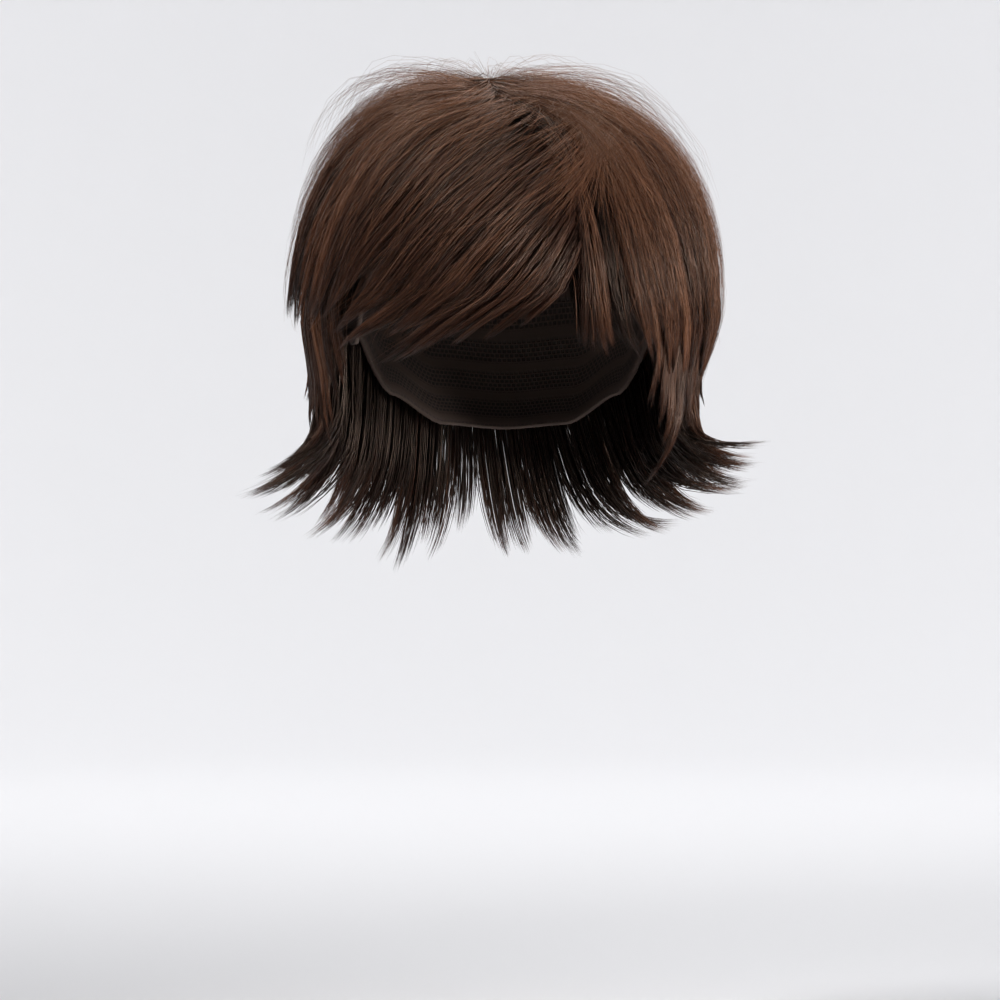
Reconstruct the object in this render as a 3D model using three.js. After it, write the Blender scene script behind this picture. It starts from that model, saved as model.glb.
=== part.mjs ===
// Short layered wig with a swept fringe and flicked-out ends, on a hollow knitted cap.
// Millimetres. The origin is the inside top of the cap, +Z is up and the face looks along -Y.
import * as THREE from "three";

// Head and cap
const HEAD_WIDTH = 154;
const HEAD_LENGTH = 196;
const GIRTH_DEPTH = 90; // crown down to the widest girth
const ROUNDNESS = 2.2; // 2 is an ellipse, more is fuller
const CAP_WALL = 2;
const CAP_COLUMNS = 40;
const CAP_ROWS = 7;

// Outer form of the hair
const HAIR_WIDTH = 212;
const HAIR_LENGTH = 240;
const HAIR_ABOVE_CROWN = 27;
const HAIR_SET_BACK = 4;
const HAIR_WAIST = 9; // how far the outer form draws in below the girth
const WHORL_X = -6;

// Layers and locks
const HANG = 100; // millimetres for one step of s below the girth
const ROOT_GAP = 1.2; // hair off the cap
const LAYER_GAP = 2.2; // hair off the layer below
const BORDER_GAP = 0.7; // between neighbours of one layer
const TIP_THICKNESS = 0.9;
const FURROW = 3.2; // depth of the furrow between locks, no more than half the layer
const LOCK_STEPS = [-0.5, -0.22, 0, 0.22];
const FLICK_START = 0.7;
const LIFT_START = 0.8;
const WANDER = 2.2; // degrees that a lock leans aside at its tip

// Colours read from the photo
const HAIR_COLOUR = 0x3c2620;
const CAP_COLOUR = 0x1e1614;

// Cap edge: az is degrees from the front, s runs from 0 at the crown to 1 at the girth
const CAP_EDGE = [
  { az: 0, s: 0.64 },
  { az: 32, s: 0.7 },
  { az: 52, s: 0.93 },
  { az: 68, s: 1.13 },
  { az: 80, s: 1.08 },
  { az: 92, s: 1.0 },
  { az: 108, s: 1.06 },
  { az: 128, s: 1.28 },
  { az: 152, s: 1.4 },
  { az: 180, s: 1.42 },
];

// Upper face of each layer: w is 0 on the cap and 1 on the outer form of the hair
const NAPE_TOP = [
  { s: 0.68, w: 0 },
  { s: 1.1, w: 0.36 },
  { s: 1.5, w: 0.57 },
  { s: 1.8, w: 0.84 },
  { s: 2.1, w: 1 },
];
const SIDE_TOP = [
  { s: 0.38, w: 0 },
  { s: 0.8, w: 0.6 },
  { s: 1.1, w: 0.8 },
  { s: 1.55, w: 0.94 },
  { s: 1.9, w: 1 },
];
const CROWN_TOP = [
  { s: 0, w: 0.72 },
  { s: 0.06, w: 0.86 },
  { s: 0.14, w: 1 },
];

// The side layer starts behind the temples
const SIDE_FRONT = 30;
const SIDE_FULL = 44;

// Locks of the top layer, from the low end of the part leftwards round the head and back to the part
const TOP_FAN = [
  { lock: 0, rootAz: 14, rootS: 0.84, tipAz: -6, tipS: 1.21, flick: 0, lift: 0 },
  { lock: 2, rootAz: 13, rootS: 0.6, tipAz: -24, tipS: 1.32, flick: 0, lift: 0 },
  { lock: 4, rootAz: 8, rootS: 0.36, tipAz: -42, tipS: 1.35, flick: 1, lift: 0 },
  { lock: 6, rootAz: 4, rootS: 0.13, tipAz: -62, tipS: 1.24, flick: 3, lift: 0 },
  { lock: 7, rootAz: -18, rootS: 0.06, tipAz: -72, tipS: 1.17, flick: 4, lift: 0 },
  { lock: 8, rootAz: -45, rootS: 0.04, tipAz: -82, tipS: 1.12, flick: 4, lift: 0 },
  { lock: 11, rootAz: -100, rootS: 0.035, tipAz: -118, tipS: 1.18, flick: 4, lift: 0 },
  { lock: 16, rootAz: -180, rootS: 0.035, tipAz: -180, tipS: 1.3, flick: 4, lift: 0 },
  { lock: 21, rootAz: -262, rootS: 0.035, tipAz: -247, tipS: 1.36, flick: 3, lift: 0 },
  { lock: 23, rootAz: -300, rootS: 0.04, tipAz: -274, tipS: 1.48, flick: 0, lift: 0 },
  { lock: 25, rootAz: -340, rootS: 0.065, tipAz: -294, tipS: 1.52, flick: -2, lift: 0 },
  { lock: 26, rootAz: -350, rootS: 0.16, tipAz: -302, tipS: 1.45, flick: -1, lift: 0 },
  { lock: 27, rootAz: -350, rootS: 0.32, tipAz: -310, tipS: 1.38, flick: 0, lift: 0 },
  { lock: 29, rootAz: -345, rootS: 0.6, tipAz: -327, tipS: 1.24, flick: 0, lift: 0 },
  { lock: 30, rootAz: -343.5, rootS: 0.76, tipAz: -336, tipS: 1.2, flick: 0, lift: 0 },
];

// Locks of the side and back layer, from the right temple round the back to the left temple
const SIDE_FAN = [
  { lock: 0, rootAz: 52, rootS: 0.5, tipAz: 49, tipS: 1.52, flick: -5, lift: 0 },
  { lock: 1, rootAz: 63, rootS: 0.48, tipAz: 53, tipS: 1.76, flick: -17, lift: 0 },
  { lock: 2, rootAz: 74, rootS: 0.47, tipAz: 62, tipS: 1.7, flick: -10, lift: 0 },
  { lock: 3, rootAz: 86, rootS: 0.465, tipAz: 76, tipS: 1.58, flick: 0, lift: 0 },
  { lock: 4, rootAz: 98, rootS: 0.46, tipAz: 92, tipS: 1.5, flick: 2, lift: 0 },
  { lock: 9, rootAz: 180, rootS: 0.46, tipAz: 180, tipS: 1.68, flick: 7, lift: 0 },
  { lock: 14, rootAz: 262, rootS: 0.46, tipAz: 266, tipS: 1.5, flick: 4, lift: 0 },
  { lock: 16, rootAz: 286, rootS: 0.47, tipAz: 297, tipS: 1.74, flick: -11, lift: 0 },
  { lock: 18, rootAz: 308, rootS: 0.5, tipAz: 310, tipS: 1.4, flick: -3, lift: 0 },
];

// Locks of the nape layer, from the right ear round the neck to the left ear
const NAPE_FAN = [
  { lock: 0, rootAz: 81, rootS: 0.87, tipAz: 81, tipS: 1.9, flick: 40, lift: 20 },
  { lock: 2, rootAz: 103, rootS: 0.83, tipAz: 104, tipS: 1.98, flick: 34, lift: 9 },
  { lock: 4, rootAz: 128, rootS: 0.8, tipAz: 128, tipS: 2.1, flick: 31, lift: 3 },
  { lock: 6, rootAz: 153, rootS: 0.79, tipAz: 153, tipS: 2.24, flick: 27, lift: 0 },
  { lock: 8, rootAz: 180, rootS: 0.79, tipAz: 180, tipS: 2.3, flick: 24, lift: 0 },
  { lock: 10, rootAz: 207, rootS: 0.79, tipAz: 208, tipS: 2.33, flick: 27, lift: 0 },
  { lock: 12, rootAz: 232, rootS: 0.8, tipAz: 232, tipS: 2.2, flick: 31, lift: 0 },
  { lock: 14, rootAz: 257, rootS: 0.83, tipAz: 257, tipS: 2.02, flick: 33, lift: 0 },
  { lock: 16, rootAz: 280, rootS: 0.87, tipAz: 280, tipS: 1.89, flick: 36, lift: 2 },
];

const DEG = Math.PI / 180;
const GIRTH_Z = -GIRTH_DEPTH;

// Half sizes of the head, grown outwards by a wall
function headForm(grow) {
  return {
    halfWidth: HEAD_WIDTH / 2 + grow,
    halfLength: HEAD_LENGTH / 2 + grow,
    rise: GIRTH_DEPTH + grow,
    back: 0,
  };
}

const HAIR_BASE = headForm(CAP_WALL + ROOT_GAP);
const HAIR_FORM = {
  halfWidth: HAIR_WIDTH / 2,
  halfLength: HAIR_LENGTH / 2,
  rise: GIRTH_DEPTH + HAIR_ABOVE_CROWN,
  back: HAIR_SET_BACK,
};

function smooth(x) {
  const c = Math.min(1, Math.max(0, x));
  return c * c * (3 - 2 * c);
}

// Reads a table of rows by its first column, easing between neighbouring rows
function lookUp(rows, key, at, column, ease = true) {
  if (at <= rows[0][key]) return rows[0][column];
  for (let i = 1; i < rows.length; i += 1) {
    const a = rows[i - 1];
    const b = rows[i];
    if (at <= b[key]) {
      const f = (at - a[key]) / (b[key] - a[key]);
      return a[column] + (b[column] - a[column]) * (ease ? smooth(f) : f);
    }
  }
  return rows[rows.length - 1][column];
}

function signedPower(x, p) {
  return Math.sign(x) * Math.abs(x) ** p;
}

// A point on a rounded form: s is 0 at the crown and 1 at the girth, more is past it
function roundPoint(form, az, s) {
  const q = 2 / ROUNDNESS;
  const across = signedPower(Math.sin(s * 90 * DEG), q);
  const up = signedPower(Math.cos(s * 90 * DEG), q);
  return new THREE.Vector3(
    form.halfWidth * across * Math.sin(az * DEG),
    form.back - form.halfLength * across * Math.cos(az * DEG),
    GIRTH_Z + form.rise * up,
  );
}

// The same form, hanging straight down past the girth and drawn in at the waist
function hangPoint(form, az, s, waist, shift) {
  const p = roundPoint(form, az, Math.min(1, s));
  const drop = Math.max(0, s - 1);
  const drawn = waist * smooth(drop / 0.5);
  p.x += shift * (1 - smooth(s / 0.7)) - drawn * Math.sin(az * DEG);
  p.y += drawn * Math.cos(az * DEG);
  p.z -= drop * HANG;
  return p;
}

// A point in the hair between the cap, w = 0, and the outer form, w = 1
function hairPoint(az, s, w) {
  const low = hangPoint(HAIR_BASE, az, s, 0, 0);
  const high = hangPoint(HAIR_FORM, az, s, HAIR_WAIST, WHORL_X);
  return low.lerp(high, w);
}

function hairDepth(az, s) {
  return hairPoint(az, s, 0).distanceTo(hairPoint(az, s, 1));
}

function fromFront(az) {
  return Math.abs(((az % 360) + 540) % 360 - 180);
}

function napeTop(az, s) {
  return lookUp(NAPE_TOP, "s", s, "w", false);
}

function sideTop(az, s) {
  const behind = smooth((fromFront(az) - SIDE_FRONT) / (SIDE_FULL - SIDE_FRONT));
  return lookUp(SIDE_TOP, "s", s, "w", false) * behind;
}

function crownTop(az, s) {
  return lookUp(CROWN_TOP, "s", s, "w");
}

// One lock's root, tip and lean
function lockAt(fan, u) {
  const lock = {};
  for (const column of ["rootAz", "rootS", "tipAz", "tipS", "flick", "lift"]) {
    lock[column] = lookUp(fan, "lock", u, column, false);
  }
  lock.lean = WANDER * Math.sin(u * 2.1);
  return lock;
}

function lockPath(lock, t) {
  return {
    az: lock.rootAz + (lock.tipAz - lock.rootAz + lock.lean) * t,
    s: lock.rootS + (lock.tipS - lock.rootS) * t,
  };
}

// A curtain of locks: furrowed outside, smooth inside, thin at the roots and pointed at the tips
function curtain(layer, first, last) {
  const { fan, under, top, rows, notch } = layer;
  const columns = [];
  for (let k = first; k <= last; k += 1) {
    for (const step of LOCK_STEPS) columns.push(k + step);
  }
  columns.push(last + 0.5);
  const outer = [];
  const inner = [];
  columns.forEach((u, c) => {
    const ridge = Math.min(last, Math.max(first, Math.round(u + (c === 0 ? 0.01 : -0.01))));
    const aside = Math.min(1, Math.abs(u - ridge) * 2);
    const vary = layer.vary * Math.sin(ridge * 2.4) * (1 - aside);
    const end = 1 - notch * aside + vary;
    const lineOut = [];
    const lineIn = [];
    for (let r = 0; r <= rows; r += 1) {
      const along = r / rows;
      const t = end * along;
      const pinch = 1 - 0.45 * smooth((t - (1 - notch)) / notch) * (aside < 1 ? 1 : 0);
      const lock = lockAt(fan, ridge + (u - ridge) * pinch);
      const at = lockPath(lock, t);
      const depth = hairDepth(at.az, at.s);
      const below = under(at.az, at.s);
      const low = below + (LAYER_GAP / depth) * Math.min(1, below * 8);
      const thin = TIP_THICKNESS / depth;
      const full = Math.max(thin, top(at.az, at.s) - low);
      const furrow = 1 - Math.min(0.5, FURROW / (full * depth)) * aside * aside;
      const rise = layer.rootShare + (1 - layer.rootShare) * smooth(t / 0.22);
      const close = smooth((along - 0.45) / 0.55);
      const mid = low + 0.45 * full;
      const high = low + Math.max(thin, full * furrow * rise);
      const wOut = high + (mid + thin / 2 - high) * close;
      const wIn = low + (mid - thin / 2 - low) * close;
      const flick = lock.flick * Math.max(0, (t - FLICK_START) / (1 - FLICK_START)) ** 2;
      const lift = lock.lift * Math.max(0, (t - LIFT_START) / (1 - LIFT_START)) ** 2;
      const away = new THREE.Vector3(Math.sin(at.az * DEG) * flick, -Math.cos(at.az * DEG) * flick, lift);
      lineOut.push(hairPoint(at.az, at.s, Math.max(wOut, wIn + thin)).add(away));
      lineIn.push(hairPoint(at.az, at.s, wIn).add(away));
    }
    outer.push(lineOut);
    inner.push(lineIn);
  });
  openBorder(outer, inner, 0, 1);
  openBorder(outer, inner, columns.length - 1, columns.length - 2);
  return closeSheet(outer, inner);
}

// Draws an end column towards its neighbour so that bordering pieces stay apart
function openBorder(outer, inner, edge, next) {
  for (const face of [outer, inner]) {
    face[edge].forEach((p, r) => {
      const toward = face[next][r].clone().sub(p);
      const far = toward.length();
      p.addScaledVector(toward, Math.min(0.6, BORDER_GAP / 2 / far));
    });
  }
}

// Joins two facing grids of points into one closed body
function closeSheet(outer, inner) {
  const columns = outer.length;
  const rows = outer[0].length;
  const position = [];
  for (const face of [outer, inner]) {
    for (const line of face) {
      for (const p of line) position.push(p.x, p.y, p.z);
    }
  }
  const index = [];
  const at = (side, c, r) => side * columns * rows + c * rows + r;
  const quad = (a, b, c, d) => index.push(a, b, c, a, c, d);
  for (let c = 0; c + 1 < columns; c += 1) {
    for (let r = 0; r + 1 < rows; r += 1) {
      quad(at(0, c, r), at(0, c, r + 1), at(0, c + 1, r + 1), at(0, c + 1, r));
      quad(at(1, c, r), at(1, c + 1, r), at(1, c + 1, r + 1), at(1, c, r + 1));
    }
    quad(at(0, c, 0), at(0, c + 1, 0), at(1, c + 1, 0), at(1, c, 0));
    quad(at(0, c, rows - 1), at(1, c, rows - 1), at(1, c + 1, rows - 1), at(0, c + 1, rows - 1));
  }
  for (let r = 0; r + 1 < rows; r += 1) {
    quad(at(0, 0, r), at(1, 0, r), at(1, 0, r + 1), at(0, 0, r + 1));
    const e = columns - 1;
    quad(at(0, e, r), at(0, e, r + 1), at(1, e, r + 1), at(1, e, r));
  }
  return makeGeometry(position, index);
}

// Builds the mesh and turns it to face out
function makeGeometry(position, index) {
  let volume = 0;
  const p = (i) => new THREE.Vector3().fromArray(position, i * 3);
  for (let i = 0; i < index.length; i += 3) {
    volume += p(index[i]).dot(p(index[i + 1]).cross(p(index[i + 2])));
  }
  if (volume < 0) index.reverse();
  const geometry = new THREE.BufferGeometry();
  geometry.setAttribute("position", new THREE.Float32BufferAttribute(position, 3));
  geometry.setIndex(index);
  geometry.computeVertexNormals();
  return geometry;
}

// The cap: an inner and an outer dome that meet along the edge
function capGeometry() {
  const position = [];
  const index = [];
  const forms = [headForm(CAP_WALL), headForm(0)];
  const ring = 1 + CAP_ROWS * CAP_COLUMNS;
  forms.forEach((form) => {
    position.push(0, 0, GIRTH_Z + form.rise);
    for (let r = 1; r <= CAP_ROWS; r += 1) {
      for (let c = 0; c < CAP_COLUMNS; c += 1) {
        const az = (c * 360) / CAP_COLUMNS;
        const edge = lookUp(CAP_EDGE, "az", fromFront(az), "s");
        const p = roundPoint(form, az, (edge * r) / CAP_ROWS);
        position.push(p.x, p.y, p.z);
      }
    }
  });
  const at = (side, r, c) => side * ring + 1 + (r - 1) * CAP_COLUMNS + (c % CAP_COLUMNS);
  for (let c = 0; c < CAP_COLUMNS; c += 1) {
    index.push(0, at(0, 1, c), at(0, 1, c + 1));
    index.push(ring, at(1, 1, c + 1), at(1, 1, c));
    for (let r = 1; r < CAP_ROWS; r += 1) {
      index.push(at(0, r, c), at(0, r + 1, c), at(0, r + 1, c + 1));
      index.push(at(0, r, c), at(0, r + 1, c + 1), at(0, r, c + 1));
      index.push(at(1, r, c), at(1, r + 1, c + 1), at(1, r + 1, c));
      index.push(at(1, r, c), at(1, r, c + 1), at(1, r + 1, c + 1));
    }
    const e = CAP_ROWS;
    index.push(at(0, e, c), at(1, e, c), at(1, e, c + 1));
    index.push(at(0, e, c), at(1, e, c + 1), at(0, e, c + 1));
  }
  return makeGeometry(position, index);
}

const TOP = {
  fan: TOP_FAN,
  under: sideTop,
  top: crownTop,
  rows: 9,
  notch: 0.14,
  vary: 0.03,
  rootShare: 0.6,
};
const SIDE = {
  fan: SIDE_FAN,
  under: napeTop,
  top: sideTop,
  rows: 8,
  notch: 0.15,
  vary: 0.03,
  rootShare: 0.3,
};
const NAPE = {
  fan: NAPE_FAN,
  under: () => 0,
  top: napeTop,
  rows: 9,
  notch: 0.12,
  vary: 0.03,
  rootShare: 0.4,
};

const hairMaterial = new THREE.MeshStandardMaterial({ color: HAIR_COLOUR, roughness: 0.5, metalness: 0 });
const capMaterial = new THREE.MeshStandardMaterial({ color: CAP_COLOUR, roughness: 0.9, metalness: 0 });

const wig = new THREE.Group();
wig.name = "wig";

function add(name, geometry, material) {
  const mesh = new THREE.Mesh(geometry, material);
  mesh.name = name;
  wig.add(mesh);
}

add("wig_cap", capGeometry(), capMaterial);
add("nape_hair", curtain(NAPE, 0, 16), hairMaterial);
add("side_right", curtain(SIDE, 0, 4), hairMaterial);
add("back_hair", curtain(SIDE, 5, 13), hairMaterial);
add("side_left", curtain(SIDE, 14, 18), hairMaterial);
add("fringe_left", curtain(TOP, 0, 6), hairMaterial);
add("crown_hair", curtain(TOP, 7, 25), hairMaterial);
add("fringe_right", curtain(TOP, 26, 30), hairMaterial);

export default wig;
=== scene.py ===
"""Short layered wig with a swept fringe and flicked-out ends, strand by strand on a knitted cap."""
import math

import bmesh
import bpy
import numpy as np
from bpy.props import FloatProperty, FloatVectorProperty, IntProperty, PointerProperty
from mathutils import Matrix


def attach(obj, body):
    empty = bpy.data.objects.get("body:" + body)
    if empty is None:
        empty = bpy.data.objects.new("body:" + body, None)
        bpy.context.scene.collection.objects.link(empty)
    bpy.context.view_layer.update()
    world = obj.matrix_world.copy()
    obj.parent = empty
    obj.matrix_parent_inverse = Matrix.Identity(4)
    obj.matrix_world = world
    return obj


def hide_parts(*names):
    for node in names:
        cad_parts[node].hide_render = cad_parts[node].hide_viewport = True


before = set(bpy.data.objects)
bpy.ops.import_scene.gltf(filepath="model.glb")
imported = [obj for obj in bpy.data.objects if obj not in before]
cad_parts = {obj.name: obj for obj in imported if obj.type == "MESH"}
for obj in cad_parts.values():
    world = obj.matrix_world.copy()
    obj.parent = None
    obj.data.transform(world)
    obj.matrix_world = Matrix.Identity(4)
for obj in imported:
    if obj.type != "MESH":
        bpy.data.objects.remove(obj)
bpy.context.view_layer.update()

bl_info = {
    "name": "Short Layered Wig",
    "version": (1, 0, 0),
    "blender": (4, 5, 0),
    "location": "View3D > Sidebar > Wig",
    "description": "Lays the strands of a short layered wig over its knitted cap",
    "category": "Add Mesh",
}

MM = 0.001
TAU = 2.0 * math.pi

# Locks of hair. az is degrees from the front, s is 0 at the crown and 1 at the widest girth, then one step
# for each 100 mm of fall; flick and lift are millimetres at the tip, outwards and up; bow is how late the
# lock swings round to its tip.
FAN_COLUMNS = ("lock", "root_az", "root_s", "tip_az", "tip_s", "flick", "lift", "bow")
TOP_FAN = (
    (0, 26, 0.62, 4, 1.16, 0, 0, 1.9),
    (1, 28, 0.60, -8, 1.23, 0, 0, 1.7),
    (2, 30, 0.55, -20, 1.30, 0, 0, 1.4),
    (4, 42, 0.44, -41, 1.35, 1, 0, 1.0),
    (5, 48, 0.30, -52, 1.29, 2, 0, 0.9),
    (6, 10, 0.10, -62, 1.21, 2, 0, 0.8),
    (7, -18, 0.03, -72, 1.13, 2, 0, 0.75),
    (8, -45, 0.01, -82, 1.08, 2, 0, 0.75),
    (11, -100, 0.008, -118, 1.18, 4, 0, 0.9),
    (16, -180, 0.008, -180, 1.30, 4, 0, 1.0),
    (21, -262, 0.008, -247, 1.36, 3, 0, 0.9),
    (23, -300, 0.01, -274, 1.48, -7, 0, 0.75),
    (25, -335, 0.03, -294, 1.52, -8, 0, 0.75),
    (26, -346, 0.05, -302, 1.47, -4, 0, 0.8),
    (27, -348, 0.06, -309, 1.43, -2, 0, 0.8),
    (28, -349, 0.07, -317, 1.38, 0, 0, 0.85),
    (29, -344, 0.20, -326, 1.34, 0, 0, 1.5),
    (30, -341, 0.40, -336, 1.30, 0, 0, 2.0),
)
SIDE_FAN = (
    (0, 52, 0.50, 47, 1.58, -8, 0, 1.0),
    (1, 63, 0.48, 51, 1.90, -18, 0, 1.2),
    (2, 74, 0.47, 59, 1.82, -15, 0, 1.2),
    (3, 86, 0.465, 75, 1.62, -2, 0, 1.0),
    (4, 98, 0.46, 92, 1.50, 2, 0, 1.0),
    (9, 180, 0.46, 180, 1.68, 7, 0, 1.0),
    (14, 262, 0.46, 266, 1.50, 4, 0, 1.0),
    (16, 286, 0.47, 295, 1.76, -11, 0, 1.0),
    (18, 306, 0.50, 305, 1.42, -3, 0, 1.0),
)
NAPE_FAN = (
    (0, 81, 0.87, 79, 1.96, 41, 26, 1.4),
    (2, 103, 0.83, 85, 2.05, 37, 26, 1.7),
    (4, 128, 0.80, 93, 2.18, 34, 30, 2.0),
    (6, 153, 0.79, 115, 2.38, 28, 34, 2.0),
    (7, 167, 0.79, 127, 2.46, 26, 34, 2.0),
    (8, 180, 0.79, 166, 2.42, 24, 14, 1.7),
    (10, 207, 0.79, 212, 2.37, 29, 5, 1.4),
    (12, 232, 0.80, 240, 2.26, 35, 8, 1.4),
    (14, 257, 0.83, 263, 2.10, 37, 9, 1.4),
    (16, 280, 0.87, 282, 1.97, 40, 10, 1.4),
)

# Upper face of each layer: w is 0 on the cap and 1 on the outer form of the hair
NAPE_TOP = ((0.68, 0), (1.1, 0.36), (1.35, 0.62), (1.55, 0.88), (1.75, 1))
SIDE_TOP = ((0.38, 0), (0.8, 0.6), (1.1, 0.8), (1.55, 0.94), (1.9, 1))
CROWN_TOP = ((0, 0.97), (0.05, 0.99), (0.12, 1))

# How high in the top layer its strands come out, lock by lock: the long fringe comes from deep under the edge
# of the right side, and roots that come out low are darkened with painted shade
TOP_ROOTS = ((0, 0.6), (2, 0.4), (3, 0.2), (5, 0.15), (5.6, 0.6), (6, 1.0), (28, 1.0), (29, 0.95), (30, 0.85))

# How far the sub-locks gather to their tips, lock by lock: the long fringe stays smooth, the back of the side
# layer lies even, and the locks at the temples and the nape end in points
TOP_GATHER = ((0, 0.5), (3, 0.6), (5, 0.55), (7, 0.35), (10, 0.35), (12, 0.8), (27, 0.82), (28, 0.7), (30, 0.55))
SIDE_GATHER = ((0, 0.88), (3, 0.8), (4, 0.5), (14, 0.4), (16, 0.85), (18, 0.88))
NAPE_GATHER = ((0, 0.96), (16, 0.96))

# Painted shade at the roots beside the part, lock by lock: how far their tone is darkened for the shade that falls
# there under the right side
TOP_PART_SHADE = ((0, 0.12), (3, 0), (26, 0), (28, 0.22), (29, 0.34), (30, 0.40))
NO_PART_SHADE = ((0, 0), (18, 0))

# Cap edge: degrees from the front, and s
CAP_EDGE = (
    (0, 0.64), (32, 0.70), (52, 0.93), (68, 1.13), (80, 1.08),
    (92, 1.0), (108, 1.06), (128, 1.28), (152, 1.40), (180, 1.42),
)

# Each layer: its locks; notch between tips; sub-locks to a lock; segments to a strand; share of strands that
# start at the root line, how far up the layer they start there, and the lowest root of the others; where the
# flick begins; share of loose strands; how far and from where a sub-lock gathers to its tip; how ragged the
# tips are; where in the layer's depth the tips end; how far sub-locks lean, in degrees; how far along the
# lock it comes up from its roots; how far a piece reaches past its outer locks; painted shade at the roots
LAYERS = {
    "top": dict(fan=TOP_FAN, notch=0.12, clumps=3, segments=7, at_root=0.45, roots=TOP_ROOTS, lowest_root=0.55,
                bend=0.70, loose=0.24, gather=TOP_GATHER, gather_from=0.42, ragged=0.06, tip_share=0.40, lean=3.0,
                rise=0.50, lap=0.85, hollow=TOP_PART_SHADE),
    "side": dict(fan=SIDE_FAN, notch=0.15, clumps=3, segments=7, at_root=0.35, roots=((0, 0.35), (18, 0.35)),
                 lowest_root=0.50, bend=0.70, loose=0.28, gather=SIDE_GATHER, gather_from=0.5, ragged=0.05,
                 tip_share=0.12, lean=2.0, rise=0.3, lap=0.85, hollow=NO_PART_SHADE),
    "nape": dict(fan=NAPE_FAN, notch=0.06, clumps=3, segments=9, at_root=0.40, roots=((0, 0.3), (16, 0.3)),
                 lowest_root=0.32, bend=0.60, loose=0.24, gather=NAPE_GATHER, gather_from=0.56, ragged=0.09,
                 tip_share=0.45, lean=3.0, rise=0.3, lap=0.5, hollow=NO_PART_SHADE),
}

# Hairs that stand off: share of them, first and last lock, then low and high of start along the lock, length
# along it and how far it stands off as a share of the hair's depth, and its width in millimetres
FLYAWAYS = (
    (0.14, 5, 28, (0.0, 0.06), (0.26, 0.55), (0.20, 1.00), 0.15),
    (0.56, 5, 28, (0.0, 0.30), (0.30, 0.60), (0.06, 0.45), 0.14),
    (0.21, 3, 28, (0.25, 0.80), (0.10, 0.25), (0.05, 0.26), 0.15),
    (0.09, 2, 6, (0.0, 0.10), (0.20, 0.40), (0.03, 0.13), 0.28),
)


def linear(hex_colour):
    """sRGB hex to linear red, green, blue."""
    parts = [int(hex_colour[i:i + 2], 16) / 255 for i in (0, 2, 4)]
    return tuple(p / 12.92 if p <= 0.04045 else ((p + 0.055) / 1.055) ** 2.4 for p in parts)


class WigForm(bpy.types.PropertyGroup):
    """Sizes of the cap and of the outer form of the hair."""
    cap_width: FloatProperty(name="Cap width", description="Inside width of the cap", default=0.154, unit="LENGTH")
    cap_length: FloatProperty(name="Cap length", description="Inside length of the cap", default=0.196, unit="LENGTH")
    girth_depth: FloatProperty(name="Girth depth", description="Crown down to the widest girth", default=0.090,
                               unit="LENGTH")
    roundness: FloatProperty(name="Roundness", description="2 is an ellipse, more is fuller", default=2.2)
    cap_wall: FloatProperty(name="Cap wall", description="Thickness of the knitted cap", default=0.002, unit="LENGTH")
    root_gap: FloatProperty(name="Root gap", description="Hair off the cap", default=0.0012, unit="LENGTH")
    layer_gap: FloatProperty(name="Layer gap", description="Hair off the layer below", default=0.0022, unit="LENGTH")
    hair_width: FloatProperty(name="Hair width", description="Width of the hair at the girth", default=0.212,
                              unit="LENGTH")
    hair_length: FloatProperty(name="Hair length", description="Front to back of the hair at the girth",
                               default=0.240, unit="LENGTH")
    hair_rise: FloatProperty(name="Hair above crown", description="Hair standing above the crown", default=0.021,
                             unit="LENGTH")
    set_back: FloatProperty(name="Set back", description="How far the hair's middle lies behind the cap's",
                            default=0.004, unit="LENGTH")
    waist: FloatProperty(name="Waist", description="How far the hair draws in below the girth", default=0.009,
                         unit="LENGTH")
    whorl_x: FloatProperty(name="Crown offset", description="Top of the hair to the left of the middle",
                           default=-0.006, unit="LENGTH")
    whorl_aside: FloatProperty(name="Whorl aside", description="Whorl to the right of the crown, in steps of s",
                               default=-0.02)
    whorl_forward: FloatProperty(name="Whorl forward", description="Whorl before the crown, in steps of s",
                                 default=0.26)
    hang: FloatProperty(name="Hang", description="Fall for one step below the girth", default=0.100, unit="LENGTH")


class WigStrands(bpy.types.PropertyGroup):
    """How many strands there are and how they lie."""
    width: FloatProperty(name="Strand width", description="Drawn width of a strand", default=0.00048, unit="LENGTH")
    crown: IntProperty(name="Crown strands", description="Strands in each half of the crown", default=3300)
    fringe_left: IntProperty(name="Left fringe strands", description="Strands in the long fringe", default=3600)
    fringe_right: IntProperty(name="Right fringe strands", description="Strands in the short fringe", default=2100)
    side: IntProperty(name="Side strands", description="Strands at each side", default=1700)
    back: IntProperty(name="Back strands", description="Strands of the middle layer at the back", default=1200)
    nape: IntProperty(name="Nape strands", description="Strands to a lock of the flicked layer", default=330)
    flyaways: IntProperty(name="Fly-aways", description="Single hairs that stand off", default=3000)
    wander: FloatProperty(name="Wander", description="Lean of a lock at its tip, degrees", default=2.2)


class WigColours(bpy.types.PropertyGroup):
    """Colours of the fibre, the cap and the studio."""
    deep: FloatVectorProperty(name="Deep brown", description="Darkest strands", subtype="COLOR", size=3,
                              default=linear("120a07"))
    brown: FloatVectorProperty(name="Brown", description="Most strands", subtype="COLOR", size=3,
                               default=linear("42271c"))
    light: FloatVectorProperty(name="Light brown", description="Lightest strands", subtype="COLOR", size=3,
                               default=linear("96674c"))
    cap: FloatVectorProperty(name="Cap", description="Knitted cap", subtype="COLOR", size=3, default=linear("46372f"))
    studio: FloatVectorProperty(name="Studio", description="Floor and backdrop", subtype="COLOR", size=3,
                                default=linear("dcdcde"))


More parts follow.
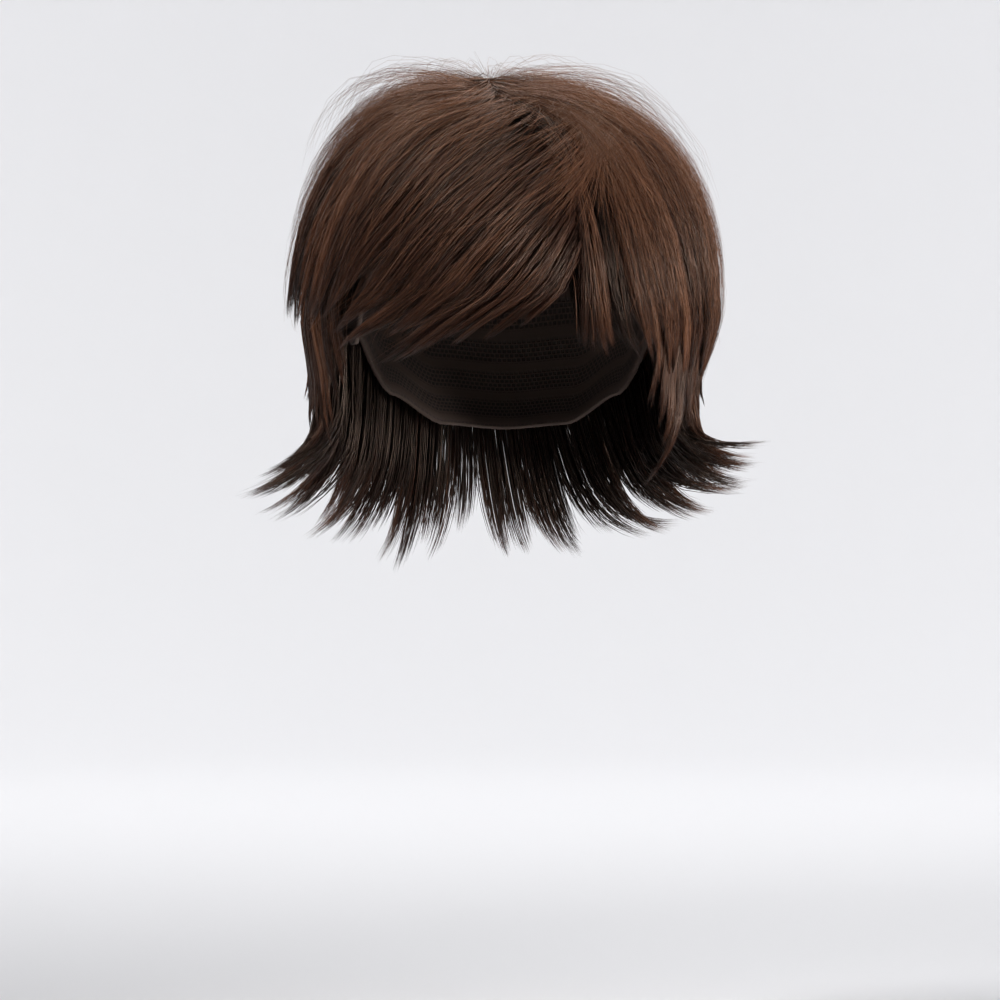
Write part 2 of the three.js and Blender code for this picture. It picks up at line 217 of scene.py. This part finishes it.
class WigStage(bpy.types.PropertyGroup):
    """Camera, floor and lamps."""
    distance: FloatProperty(name="Camera distance", description="Camera to the wig's middle", default=1.6,
                            unit="LENGTH")
    eye_height: FloatProperty(name="Camera height", description="Camera against the crown", default=-0.185,
                              unit="LENGTH")
    eye_aside: FloatProperty(name="Camera aside", description="Camera to the right of the middle", default=-0.0024,
                             unit="LENGTH")
    lens: FloatProperty(name="Lens", description="Focal length in millimetres on a 36 mm sensor", default=118.8)
    floor: FloatProperty(name="Floor", description="Floor against the crown", default=-0.47, unit="LENGTH")
    key: FloatProperty(name="Key light", description="Power of the spot low at the right", default=245.0,
                       unit="POWER")
    fill: FloatProperty(name="Fill light", description="Power of the large lamp at the left", default=1.0,
                        unit="POWER")
    top: FloatProperty(name="Top light", description="Power of the spot above", default=76.0, unit="POWER")
    back: FloatProperty(name="Back light", description="Power of the spots high up behind", default=50.0,
                        unit="POWER")
    rim: FloatProperty(name="Rim light", description="Power of the spots behind", default=14.0, unit="POWER")
    wall: FloatProperty(name="Backdrop light", description="Power of the lamps on the backdrop", default=22.5,
                        unit="POWER")
    floor_light: FloatProperty(name="Floor light", description="Power of the lamp over the floor behind",
                               default=21.5, unit="POWER")
    sky: FloatProperty(name="Sky", description="Strength of the even light all round", default=0.12)


def smooth(x):
    """Eased step from 0 to 1."""
    c = np.clip(x, 0, 1)
    return c * c * (3 - 2 * c)


def from_front(az):
    """Degrees from the front, either way."""
    return np.abs((az + 540) % 360 - 180)


def eased_table(rows, at):
    """Reads a two-column table, easing between its rows."""
    keys, values = np.array(rows, float).T
    i = np.clip(np.searchsorted(keys, at) - 1, 0, len(keys) - 2)
    f = smooth((at - keys[i]) / (keys[i + 1] - keys[i]))
    return values[i] + (values[i + 1] - values[i]) * f


def straight_table(rows, at):
    """Reads a two-column table with straight lines between its rows."""
    keys, values = np.array(rows, float).T
    return np.interp(at, keys, values)


def fan_at(fan, u):
    """Root, tip, flick and lift of the lock at position u of a fan."""
    rows = np.array(fan, float)
    return {name: np.interp(u, rows[:, 0], rows[:, i]) for i, name in enumerate(FAN_COLUMNS)}


def round_points(form, half, az, s):
    """Points on a rounded form with half sizes (width, length, rise, set back)."""
    width, length, rise, back = half
    q = 2.0 / form.roundness
    angle = s * (math.pi / 2)
    across = np.abs(np.sin(angle)) ** q
    up = np.sign(np.cos(angle)) * np.abs(np.cos(angle)) ** q
    turn = np.radians(az)
    return np.stack((width * across * np.sin(turn), back - length * across * np.cos(turn),
                     rise * up - form.girth_depth), axis=-1)


def hang_points(form, half, az, s, waist, shift):
    """The same form, hanging straight down past the girth and drawn in at the waist."""
    points = round_points(form, half, az, np.minimum(s, 1))
    drop = np.maximum(0, s - 1)
    drawn = waist * smooth(drop / 0.5)
    turn = np.radians(az)
    points[..., 0] += shift * (1 - smooth(s / 0.7)) - drawn * np.sin(turn)
    points[..., 1] += drawn * np.cos(turn)
    points[..., 2] -= drop * form.hang
    return points


def cap_half(form, grow):
    """Half sizes of the cap's inner form, grown all round."""
    return (form.cap_width / 2 + grow, form.cap_length / 2 + grow, form.girth_depth + grow, 0.0)


def hair_span(form, az, s):
    """Points on the cap side and on the outer side of the hair."""
    low = hang_points(form, cap_half(form, form.cap_wall + form.root_gap), az, s, 0.0, 0.0)
    half = (form.hair_width / 2, form.hair_length / 2, form.girth_depth + form.hair_rise, form.set_back)
    high = hang_points(form, half, az, s, form.waist, form.whorl_x)
    return low, high


def about_whorl(form, az, s):
    """Carries the crown's middle to the whorl; the form itself stays."""
    turn = np.radians(az)
    pull = 1 - smooth(s / 0.62)
    across = s * np.sin(turn) + form.whorl_aside * pull
    forward = s * np.cos(turn) + form.whorl_forward * pull
    return np.degrees(np.arctan2(across, forward)), np.hypot(across, forward)


def layer_faces(form, layer_name, az, s, depth, dimple):
    """Lower and upper face of a layer as shares of the hair's depth."""
    nape = straight_table(NAPE_TOP, s)
    side = straight_table(SIDE_TOP, s) * smooth((from_front(az) - 30) / 14)
    below, top = {
        "top": (side, dimple),
        "side": (nape, side),
        "nape": (np.zeros_like(s), nape),
    }[layer_name]
    low = below + form.layer_gap / depth * np.minimum(1, below * 8)
    return low, np.maximum(top, low + 0.0009 / depth)


def strand_points(form, strands, layer_name, u, t, share, aside, curl):
    """Points along strands: u across the locks, t along them, share of the layer's depth."""
    lock = fan_at(LAYERS[layer_name]["fan"], u)
    lean = strands.wander * np.sin(u * 2.1)
    swing = np.maximum(t, 0) ** lock["bow"]
    az = lock["root_az"] + (lock["tip_az"] - lock["root_az"]) * swing + lean * t + aside
    s = lock["root_s"] + (lock["tip_s"] - lock["root_s"]) * t
    dimple = eased_table(CROWN_TOP, s)
    if layer_name == "top":
        az, s = about_whorl(form, az, s)
    low_points, high_points = hair_span(form, az, s)
    depth = np.linalg.norm(high_points - low_points, axis=-1)
    low, top = layer_faces(form, layer_name, az, s, depth, dimple)
    w = low + (top - low) * share
    points = low_points + (high_points - low_points) * w[..., None]
    bend = LAYERS[layer_name]["bend"]
    flick = lock["flick"] * MM * curl * np.maximum(0, (t - bend) / (1 - bend)) ** 2
    lift = lock["lift"] * MM * curl * np.maximum(0, (t - 0.6) / 0.4) ** 2
    turn = np.radians(az)
    points += np.stack((np.sin(turn) * flick, -np.cos(turn) * flick, lift), axis=-1)
    return points


def tube_mesh(name, points, radius, roll, tone):
    """Three-sided tubes, pointed at both ends, along many paths: one mesh with a bake cell to each strand."""
    count, rings = points.shape[:2]
    along = np.gradient(points, axis=1)
    along /= np.linalg.norm(along, axis=-1, keepdims=True) + 1e-12
    out = points - np.array((0.0, 0.0, -0.09))
    out[..., 2] *= 0.5
    side = np.cross(along, out)
    side /= np.linalg.norm(side, axis=-1, keepdims=True) + 1e-12
    up = np.cross(side, along)
    corners = []
    for k in range(3):
        a = roll[:, None] - k * TAU / 3
        offset = side * np.cos(a)[..., None] + up * np.sin(a)[..., None]
        corners.append(points + offset * radius[..., None])
    inner = np.stack(corners, axis=2)[:, 1:-1].reshape(count, -1, 3)
    verts = np.concatenate((points[:, :1], inner, points[:, -1:]), axis=1)
    size = verts.shape[1]

    ring = np.arange(rings - 3)
    low = (ring + 1) / (rings - 1)
    high = (ring + 2) / (rings - 1)
    near, far = 1 / (rings - 1), (rings - 2) / (rings - 1)
    faces = []
    cells = []
    for k in range(3):
        n = (k + 1) % 3
        a = 1 + ring * 3 + k
        b = 1 + ring * 3 + n
        last = size - 4
        v = k / 3 + 0.03
        v0 = np.full_like(low, v)
        v1 = v0 + 0.27
        faces += [np.stack((a, b, b + 3), 1), np.stack((a, b + 3, a + 3), 1)]
        faces += [np.array(((0, 1 + n, 1 + k), (size - 1, last + k, last + n)))]
        cells += [np.stack((low, v0, low, v1, high, v1), 1), np.stack((low, v0, high, v1, high, v0), 1)]
        cells += [np.array(((0, v + 0.13, near, v + 0.27, near, v), (1, v + 0.13, far, v, far, v + 0.27)))]
    faces = np.concatenate(faces)
    cells = np.concatenate(cells).reshape(-1, 3, 2)
    all_faces = (faces[None] + (np.arange(count) * size)[:, None, None]).reshape(-1, 3)

    mesh = bpy.data.meshes.new(name)
    mesh.from_pydata(verts.reshape(-1, 3), [], all_faces)
    mesh.shade_smooth()
    across = int(math.ceil(math.sqrt(count / 3)))
    down = int(math.ceil(count / across))
    index = np.arange(count)
    corner = np.stack((index % across, index // across), 1) + 0.05
    uv = (corner[:, None, None] + cells[None] * 0.9) / np.array((across, down))
    layer = mesh.uv_layers.new(name="OFBake")
    layer.data.foreach_set("uv", uv.astype(np.float32).ravel())
    ring_of = np.concatenate(((0,), np.repeat(np.arange(1, rings - 1), 3), (rings - 1,)))
    for label, values in (("tone", tone[:, ring_of].ravel()), ("along", np.tile(ring_of / (rings - 1), count))):
        attribute = mesh.attributes.new(label, "FLOAT", "POINT")
        attribute.data.foreach_set("value", values.astype(np.float32))
    mesh.update()
    return mesh


def lay_strands(context, name, node, layer_name, first, last, count, seed):
    """Lays one piece of a layer: strands gathered in sub-locks that draw together at their tips."""
    form, strands = context.scene.wig_form, context.scene.wig_strands
    layer = LAYERS[layer_name]
    rng = np.random.default_rng(seed)
    # A piece laps over the edge of its neighbours, so that no slit opens between two pieces
    low = max(first - layer["lap"], layer["fan"][0][0] - 0.5)
    high = min(last + layer["lap"], layer["fan"][-1][0] + 0.5)
    clumps = round((high - low) * layer["clumps"])
    spacing = (high - low) / clumps
    middle = low + (np.arange(clumps) + 0.5 + rng.uniform(-0.45, 0.45, clumps)) * spacing
    clump_lean = rng.normal(0, layer["lean"], clumps)
    clump_share = np.clip(rng.normal(-0.10, 0.10, clumps), -0.28, 0.0)
    clump_tone = rng.normal(0, 0.13, clumps)
    clump_phase = rng.uniform(0, TAU, clumps)
    clump_end = 0.01 - np.abs(rng.normal(0, layer["ragged"], clumps))
    clump_curl = rng.normal(1, 0.14, clumps)
    clump_gather = straight_table(layer["gather"], middle) * rng.uniform(0.5, 1.0, clumps) ** 0.6

    u = low + 0.02 + (high - low - 0.04) * rng.random(count)
    pick = np.abs(u[:, None] + rng.normal(0, 0.2 * spacing, count)[:, None] - middle[None]).argmin(axis=1)
    loose = rng.random(count) < layer["loose"]
    side = np.abs(u - np.round(u)) * 2
    reach = 1.01 - layer["notch"] * side * 0.6 + clump_end[pick]
    edge = np.minimum(1.4, np.abs(u - middle[pick]) / spacing * 1.6)
    stop = reach * (1 - 0.07 * edge ** 1.5 - 0.10 * rng.random(count) ** 2.5 - rng.uniform(0.0, 0.2, count) * loose)
    at_root = rng.random(count) < layer["at_root"]
    root_height = straight_table(layer["roots"], u)
    first_root = 0.02 + 0.22 * (1 - root_height)
    start = np.where(at_root, rng.uniform(0, 0.04, count), rng.uniform(first_root, layer["lowest_root"], count))
    # Strands about the whorl start a little beyond it and cross it
    start = start - 0.09 * rng.random(count) * (fan_at(layer["fan"], u)["root_s"] < 0.12)
    deep = rng.random(count) < 0.2
    share = np.where(deep, rng.uniform(0.05, 0.6, count), 1 - 0.30 * rng.random(count) ** 1.5)
    share = share + clump_share[pick] - 0.10 * edge ** 2
    broad = np.sin(middle[pick] * 2.7 + seed) + 0.8 * np.sin(middle[pick] * 6.1 + seed * 2)
    share = share + 0.04 * broad

    step = np.linspace(0, 1, layer["segments"])
    step = np.concatenate(((0.0,), 0.05 + 0.95 * (1 - (1 - step) ** 1.25)))[None, :]
    t = start[:, None] + (stop - start)[:, None] * step
    gather = np.where(loose, 0.15, clump_gather[pick])[:, None] * smooth((t - layer["gather_from"]) / 0.6)
    u_path = middle[pick][:, None] + (u - middle[pick])[:, None] * (1 - gather)
    u_path = np.clip(u_path, low + 0.02, high - 0.02)
    roots = (root_height * rng.uniform(0.85, 1.08, count))[:, None]
    rise = np.where(at_root, 1.0, 0.2)[:, None]
    rise = rise + (1 - rise) * smooth((t - start[:, None]) / 0.24)
    rise = rise * (roots + (1 - roots) * smooth(t / layer["rise"]))
    tip = smooth((t / reach[:, None] - 0.5) / 0.5)
    end_share = layer["tip_share"]
    share_path = share[:, None] * rise * (1 - tip) + (end_share + (share[:, None] - end_share) * 0.5) * tip
    phase = (clump_phase[pick] + rng.normal(0, 0.3, count))[:, None]
    stray = np.where(loose, 1.0, 0.3)
    aside = clump_lean[pick][:, None] * t ** 3 + (rng.normal(0, 0.8, count) * stray)[:, None] * t
    aside = aside + (rng.uniform(0.3, 0.8, count) * stray)[:, None] * np.sin(phase + t * 5.5)
    curl = (clump_curl[pick] * rng.normal(1, 0.05, count))[:, None]
    points = strand_points(form, strands, layer_name, u_path, t, share_path, aside, curl)
    if layer_name == "top":
        fade = 1 - smooth((t - start[:, None]) / 0.4)
        spread = 0.0007 + 0.0014 * smooth(fan_at(layer["fan"], u)["root_s"] / 0.3)
        points[..., :2] += rng.normal(0, 1, (count, 1, 2)) * (spread[:, None] * fade)[..., None]

    wide = strands.width / 2 * np.where(deep, 1.7, rng.uniform(0.75, 1.2, count))
    radius = wide[:, None] * (1 - 0.78 * smooth((step - 0.62) / 0.38))
    # Tone differs at random from sub-lock to sub-lock and strand to strand; deep strands are also darkened as painted
    # shade
    tone = 0.48 + clump_tone[pick] + 0.06 * broad + rng.normal(0, 0.12, count) - 0.3 * deep
    # Painted shade: roots that come out low in the layer and strands that lie deep in it are darkened in tone, for
    # the shade among the hair
    painted_shade = 0.9 * (1 - roots) * (1 - smooth(t / layer["rise"])) + 0.3 * np.clip(0.85 - share_path, 0, 1) * (1 - tip)
    # More painted shade on the roots beside the part
    painted_shade = painted_shade + straight_table(layer["hollow"], u_path) * (1 - smooth(t / 0.45))
    tone = np.clip(tone[:, None] - painted_shade, 0, 1)
    mesh = tube_mesh(name, points, radius, rng.uniform(0, TAU, count), tone)
    return add_piece(context, mesh, fibre_material(context), node)


def add_piece(context, mesh, material, node):
    """Puts a finished mesh in the scene, riding on the part in place of its solid."""
    piece = bpy.data.objects.new(mesh.name, mesh)
    context.scene.collection.objects.link(piece)
    mesh.materials.append(material)
    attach(piece, "root")
    if node:
        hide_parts(node)
    return piece


def lay_flyaways(context, name, count, seed):
    """Hairs that stand off the outer form: arcs from the whorl, an airy veil, a few aside and short front ones."""
    form, strands = context.scene.wig_form, context.scene.wig_strands
    rng = np.random.default_rng(seed)
    kind = rng.choice(len(FLYAWAYS), count, p=[row[0] for row in FLYAWAYS])
    span = np.array([((row[1], row[2]), *row[3:6]) for row in FLYAWAYS], float)[kind]
    u, start, length, stand = (span[..., 0] + (span[..., 1] - span[..., 0]) * rng.random((count, 4))).T
    step = np.linspace(0, 1, 7)[None, :]
    t = np.minimum(start[:, None] + length[:, None] * step, 0.98)
    arch = np.sin(step * rng.uniform(1.5, 2.8, count)[:, None])
    share = 0.93 + stand[:, None] * arch
    aside = rng.normal(0, 8, count)[:, None] * step ** 1.5
    aside = aside + rng.normal(0, 7, count)[:, None] * (1 - smooth(t / 0.25))
    u_path = np.broadcast_to(u[:, None], t.shape)
    points = strand_points(form, strands, "top", u_path, t, share, aside, 1.0)
    width = np.array([row[6] for row in FLYAWAYS])[kind] * rng.uniform(0.7, 1.2, count)
    radius = width[:, None] * MM / 2 * (1 - 0.6 * step)
    # Painted light: fly-aways are drawn lighter than the rest, for the back light shining through the thin hairs
    tone = np.clip(rng.normal(0.8, 0.14, count), 0, 1)[:, None] * np.ones_like(t)
    mesh = tube_mesh(name, points, radius, rng.uniform(0, TAU, count), tone)
    return add_piece(context, mesh, fibre_material(context), None)


def knit_cap(context, name):
    """Dome of the cap from a ball: foot opened, drawn to its oval, given its wall, hem and rounded rim."""
    form = context.scene.wig_form
    rings = 48
    bm = bmesh.new()
    bmesh.ops.create_uvsphere(bm, u_segments=108, v_segments=rings, radius=1.0)
    foot = [v for v in bm.verts if v.co.z < -0.9999]
    bmesh.ops.delete(bm, geom=foot, context="VERTS")
    reach = bm.verts.layers.float.new("reach")
    for v in bm.verts:
        az = math.degrees(math.atan2(v.co.x, -v.co.y))
        v[reach] = min(1.0, math.acos(max(-1.0, min(1.0, v.co.z))) / (math.pi * (1 - 1 / rings)))
        edge = eased_table(CAP_EDGE, from_front(np.array(az)))
        v.co = round_points(form, cap_half(form, form.cap_wall), np.array(az), np.array(v[reach] * edge))
    knit = bm.loops.layers.uv.new("Knit")
    for face in bm.faces:
        for loop in face.loops:
            turn = math.atan2(loop.vert.co.x, -loop.vert.co.y) / TAU + 0.5
            middle = math.atan2(face.calc_center_median().x, -face.calc_center_median().y) / TAU + 0.5
            turn += round(middle - turn)
            loop[knit].uv = (turn, loop.vert[reach])
    bmesh.ops.recalc_face_normals(bm, faces=bm.faces)
    bmesh.ops.solidify(bm, geom=bm.faces[:], thickness=form.cap_wall)
    bm.normal_update()
    for v in bm.verts:
        v.co += v.normal * 0.0004 * float(smooth((v[reach] - 0.945) / 0.012))
    rim = [e for e in bm.edges if e.is_manifold and e.calc_face_angle(0) > 1.0]
    bmesh.ops.bevel(bm, geom=rim, offset=0.0007, segments=2, profile=0.5, affect="EDGES", material=-1)
    mesh = bpy.data.meshes.new(name)
    bm.to_mesh(mesh)
    bm.free()
    mesh.shade_smooth()
    return add_piece(context, mesh, net_material(context), "wig_cap")


def add_node(tree, kind, settings=None, inputs=None):
    """Adds one node; inputs are values or (node, output) links."""
    node = tree.nodes.new(kind)
    for key, value in (settings or {}).items():
        setattr(node, key, value)
    for key, value in (inputs or {}).items():
        if isinstance(value, tuple) and len(value) == 2 and isinstance(value[0], bpy.types.Node):
            tree.links.new(value[0].outputs[value[1]], node.inputs[key])
        else:
            node.inputs[key].default_value = value
    return node


def new_material(name):
    """An empty material with one shader on its surface."""
    material = bpy.data.materials.new(name)
    material.use_nodes = True
    tree = material.node_tree
    tree.nodes.clear()
    shader = add_node(tree, "ShaderNodeBsdfPrincipled")
    output = add_node(tree, "ShaderNodeOutputMaterial")
    tree.links.new(shader.outputs[0], output.inputs["Surface"])
    return material, tree, shader


def fibre_material(context):
    """Extruded modacrylic fibre, dyed brown: a smooth round thread with a satin streak of light along it."""
    name = "modacrylic_fibre_brown"
    if name in bpy.data.materials:
        return bpy.data.materials[name]
    colours = context.scene.wig_colours
    material, tree, shader = new_material(name)
    tone = add_node(tree, "ShaderNodeAttribute", {"attribute_name": "tone"})
    along = add_node(tree, "ShaderNodeAttribute", {"attribute_name": "along"})
    ramp = add_node(tree, "ShaderNodeValToRGB", inputs={"Fac": (tone, "Fac")})
    ramp.color_ramp.elements[0].position = 0.12
    ramp.color_ramp.elements[0].color = (*colours.deep, 1)
    ramp.color_ramp.elements[1].position = 0.95
    ramp.color_ramp.elements[1].color = (*colours.light, 1)
    middle = ramp.color_ramp.elements.new(0.5)
    middle.color = (*colours.brown, 1)
    # Painted shade at the roots and painted warm light at the tips, as if light shone through the fibre there
    painted_root_shade_tip_light = add_node(tree, "ShaderNodeValToRGB", inputs={"Fac": (along, "Fac")})
    painted_root_shade_tip_light.color_ramp.elements[0].color = (*linear("bcbcbc"), 1)
    painted_root_shade_tip_light.color_ramp.elements[1].color = (*linear("ffeee2"), 1)
    for place in (0.3, 0.75):
        painted_root_shade_tip_light.color_ramp.elements.new(place).color = (*linear("dfdfdf"), 1)
    # Strand colour times the painted shade and light along the strand
    shade = add_node(tree, "ShaderNodeMix", {"data_type": "RGBA", "blend_type": "MULTIPLY"}, {"Factor": 1.0})
    tree.links.new(ramp.outputs["Color"], shade.inputs[6])
    tree.links.new(painted_root_shade_tip_light.outputs["Color"], shade.inputs[7])
    tree.links.new(shade.outputs[2], shader.inputs["Base Color"])
    shader.inputs["Roughness"].default_value = 0.38
    shader.inputs["IOR"].default_value = 1.52
    shader.inputs["Specular IOR Level"].default_value = 0.5
    shader.inputs["Specular Tint"].default_value = (*linear("ffdcc6"), 1)
    return material


def net_material(context):
    """Warp-knitted nylon net, dyed dark brown: small holes between threads painted near-black for the dark hair seen
    through them in painted shade, and raised rows of sewn weft.
    """
    colours = context.scene.wig_colours
    material, tree, shader = new_material("warp_knitted_nylon_net")
    place = add_node(tree, "ShaderNodeUVMap", {"uv_map": "Knit"})
    # Net cells of 2.3 mm round the girth, drawn about twice as coarse as real net so that they show
    cells = add_node(tree, "ShaderNodeMapping", inputs={"Vector": (place, "UV"), "Scale": (240.0, 90.0, 1.0)})
    net = add_node(tree, "ShaderNodeTexBrick", inputs={
        "Vector": (cells, "Vector"), "Scale": 1.0, "Brick Width": 1.0, "Row Height": 1.0, "Mortar Size": 0.22,
        "Mortar Smooth": 0.6, "Color1": (0, 0, 0, 1), "Color2": (0, 0, 0, 1), "Mortar": (1, 1, 1, 1)})
    rows = add_node(tree, "ShaderNodeTexWave", {"wave_type": "BANDS", "bands_direction": "Y"}, {
        "Vector": (place, "UV"), "Scale": 4.0, "Distortion": 0.0})
    ridge = add_node(tree, "ShaderNodeMapRange", inputs={"Value": (rows, "Fac"), "From Min": 0.55, "From Max": 0.9})
    thread = add_node(tree, "ShaderNodeMath", {"operation": "MAXIMUM"})
    tree.links.new(net.outputs["Color"], thread.inputs[0])
    tree.links.new(ridge.outputs["Result"], thread.inputs[1])
    ramp = add_node(tree, "ShaderNodeValToRGB", inputs={"Fac": (thread, "Value")})
    # Holes a third as bright as the threads: the dark hair seen through them, in painted shade
    ramp.color_ramp.elements[0].color = (*[c * 0.35 for c in colours.cap], 1)
    ramp.color_ramp.elements[1].color = (*colours.cap, 1)
    tree.links.new(ramp.outputs["Color"], shader.inputs["Base Color"])
    bump = add_node(tree, "ShaderNodeBump", inputs={"Height": (thread, "Value"), "Strength": 0.6, "Distance": 0.0006})
    tree.links.new(bump.outputs["Normal"], shader.inputs["Normal"])
    shader.inputs["Roughness"].default_value = 0.8
    shader.inputs["IOR"].default_value = 1.53
    return material


class WIG_OT_cap(bpy.types.Operator):
    """Knit the cap that the hair is sewn to"""
    bl_idname = "wig.cap"
    bl_label = "Cap"

    def execute(self, context):
        knit_cap(context, "knitted_cap")
        return {"FINISHED"}


class WIG_OT_flyaways(bpy.types.Operator):
    """Lay the single hairs that stand off the crown"""
    bl_idname = "wig.flyaways"
    bl_label = "Fly-away hairs"

    def execute(self, context):
        lay_flyaways(context, "flyaway_strands", context.scene.wig_strands.flyaways, 51)
        return {"FINISHED"}


class WIG_OT_crown(bpy.types.Operator):
    """Lay the crown's strands from the whorl over the sides and the back"""
    bl_idname = "wig.crown"
    bl_label = "Crown hair"

    def execute(self, context):
        count = context.scene.wig_strands.crown
        lay_strands(context, "crown_strands_left", "crown_hair", "top", 7, 15, count, 11)
        lay_strands(context, "crown_strands_right", "crown_hair", "top", 16, 25, count, 12)
        return {"FINISHED"}


class WIG_OT_fringe(bpy.types.Operator):
    """Lay the long fringe to the left and the short fringe to the right of the part"""
    bl_idname = "wig.fringe"
    bl_label = "Fringe"

    def execute(self, context):
        strands = context.scene.wig_strands
        lay_strands(context, "fringe_strands_left", "fringe_left", "top", 0, 6, strands.fringe_left, 21)
        lay_strands(context, "fringe_strands_right", "fringe_right", "top", 26, 30, strands.fringe_right, 22)
        return {"FINISHED"}


class WIG_OT_sides(bpy.types.Operator):
    """Lay the side and back strands of the middle layer"""
    bl_idname = "wig.sides"
    bl_label = "Sides and back"

    def execute(self, context):
        strands = context.scene.wig_strands
        lay_strands(context, "side_strands_right", "side_right", "side", 0, 4, strands.side, 31)
        lay_strands(context, "back_strands", "back_hair", "side", 5, 13, strands.back, 32)
        lay_strands(context, "side_strands_left", "side_left", "side", 14, 18, strands.side, 33)
        return {"FINISHED"}


class WIG_OT_nape(bpy.types.Operator):
    """Lay the flicked strands round the nape"""
    bl_idname = "wig.nape"
    bl_label = "Nape hair"

    def execute(self, context):
        count = context.scene.wig_strands.nape
        lay_strands(context, "nape_strands_right", "nape_hair", "nape", 0, 4, count * 5, 41)
        lay_strands(context, "nape_strands_back", "nape_hair", "nape", 5, 11, count * 7, 42)
        lay_strands(context, "nape_strands_left", "nape_hair", "nape", 12, 16, count * 5, 43)
        return {"FINISHED"}


class WIG_OT_stage(bpy.types.Operator):
    """Set up the pale floor and backdrop, the soft lamps and the camera"""
    bl_idname = "wig.stage"
    bl_label = "Stage"

    def execute(self, context):
        scene, stage = context.scene, context.scene.wig_stage
        bm = bmesh.new()
        bmesh.ops.create_cone(bm, cap_ends=True, segments=96, radius1=3.2, radius2=3.2, depth=5.0)
        bmesh.ops.translate(bm, verts=bm.verts, vec=(0, 0, stage.floor + 2.5))
        lid = [f for f in bm.faces if f.normal.z > 0.9]
        bmesh.ops.delete(bm, geom=lid, context="FACES")
        foot = [e for e in bm.edges if all(v.co.z < stage.floor + 0.1 for v in e.verts)]
        bmesh.ops.bevel(bm, geom=foot, offset=1.2, segments=20, profile=0.5, affect="EDGES", material=-1)
        mesh = bpy.data.meshes.new("backdrop")
        bm.to_mesh(mesh)
        bm.free()
        mesh.shade_smooth()
        backdrop = bpy.data.objects.new("backdrop", mesh)
        scene.collection.objects.link(backdrop)
        # Uncoated paper off the roll: an even pale grey with no gloss
        material, tree, shader = new_material("matt_studio_paper")
        shader.inputs["Base Color"].default_value = (*scene.wig_colours.studio, 1)
        shader.inputs["Roughness"].default_value = 0.9
        mesh.materials.append(material)

        world = bpy.data.worlds.new("studio_air")
        world.use_nodes = True
        world.node_tree.nodes["Background"].inputs["Color"].default_value = (*linear("f7f9ff"), 1)
        world.node_tree.nodes["Background"].inputs["Strength"].default_value = stage.sky
        scene.world = world
        scene.view_settings.view_transform = "Standard"
        lamps = (
            ("key_lamp", "SPOT", (1.5, -1.15, -0.05), (0, 0, -0.02), stage.key, 0.35, "ffffff"),
            ("fill_lamp", "AREA", (-1.35, -1.0, 0.5), (0, 0, -0.1), stage.fill, 0.9, "ffffff"),
            ("top_lamp", "SPOT", (-0.8, -0.5, 1.1), (0, 0, -0.06), stage.top, 0.25, "ffffff"),
            ("back_lamp_left", "SPOT", (-0.6, 0.8, 1.35), (0, 0, -0.05), stage.back, 0.25, "ffe8d2"),
            ("back_lamp_right", "SPOT", (0.6, 0.8, 1.35), (0, 0, -0.05), stage.back, 0.25, "ffe8d2"),
            ("rim_lamp_left", "SPOT", (-1.1, 1.0, 0.6), (0, 0, -0.1), stage.rim, 0.35, "ffe0c4"),
            ("rim_lamp_right", "SPOT", (1.1, 1.0, 0.6), (0, 0, -0.1), stage.rim, 0.35, "ffe0c4"),
            ("floor_lamp", "AREA", (0.0, 0.95, 1.5), (0, 0.95, -0.47), stage.floor_light, 1.0, "ffffff"),
            ("wall_lamp_left", "AREA", (-1.4, 1.2, 1.2), (-0.3, 3.2, 0.0), stage.wall, 0.8, "ffffff"),
            ("wall_lamp_right", "AREA", (1.4, 1.2, 1.2), (0.3, 3.2, 0.0), stage.wall, 0.8, "ffffff"),
        )
        for name, kind, place, target, power, size, colour in lamps:
            lamp = bpy.data.lights.new(name, kind)
            lamp.energy = power
            lamp.color = linear(colour)
            if kind == "AREA":
                lamp.size = size
            else:
                lamp.shadow_soft_size = size
                lamp.spot_size = math.radians(20)
                lamp.spot_blend = 0.6
            holder = bpy.data.objects.new(name, lamp)
            holder.location = place
            aim = np.array(target) - np.array(place)
            flat = math.hypot(aim[0], aim[1])
            holder.rotation_euler = (math.atan2(flat, -aim[2]), 0, math.atan2(-aim[0], aim[1]))
            scene.collection.objects.link(holder)

        camera = bpy.data.cameras.new("camera")
        camera.sensor_width = 36
        camera.lens = stage.lens
        holder = bpy.data.objects.new("camera", camera)
        holder.location = (stage.eye_aside, -stage.distance, stage.eye_height)
        holder.rotation_euler = (math.pi / 2, 0, 0)
        scene.collection.objects.link(holder)
        scene.camera = holder
        return {"FINISHED"}


class WIG_PT_panel(bpy.types.Panel):
    """Wig pieces in the order they are laid"""
    bl_label = "Short layered wig"
    bl_idname = "WIG_PT_panel"
    bl_space_type = "VIEW_3D"
    bl_region_type = "UI"
    bl_category = "Wig"

    def draw(self, context):
        for step in STEPS:
            self.layout.operator(step.bl_idname)


STEPS = (WIG_OT_stage, WIG_OT_cap, WIG_OT_nape, WIG_OT_sides, WIG_OT_crown, WIG_OT_fringe, WIG_OT_flyaways)
GROUPS = {"wig_form": WigForm, "wig_strands": WigStrands, "wig_colours": WigColours, "wig_stage": WigStage}


def register():
    """Makes the groups, operators and panel known to Blender."""
    for cls in (*GROUPS.values(), *STEPS, WIG_PT_panel):
        bpy.utils.register_class(cls)
    for name, group in GROUPS.items():
        setattr(bpy.types.Scene, name, PointerProperty(type=group))


def unregister():
    """Takes them away again."""
    for name in GROUPS:
        delattr(bpy.types.Scene, name)
    for cls in reversed((*GROUPS.values(), *STEPS, WIG_PT_panel)):
        bpy.utils.unregister_class(cls)


def main():
    """Lays every piece in order."""
    register()
    for step in STEPS:
        group, name = step.bl_idname.split(".")
        getattr(getattr(bpy.ops, group), name)()


if __name__ == "__main__":
    main()
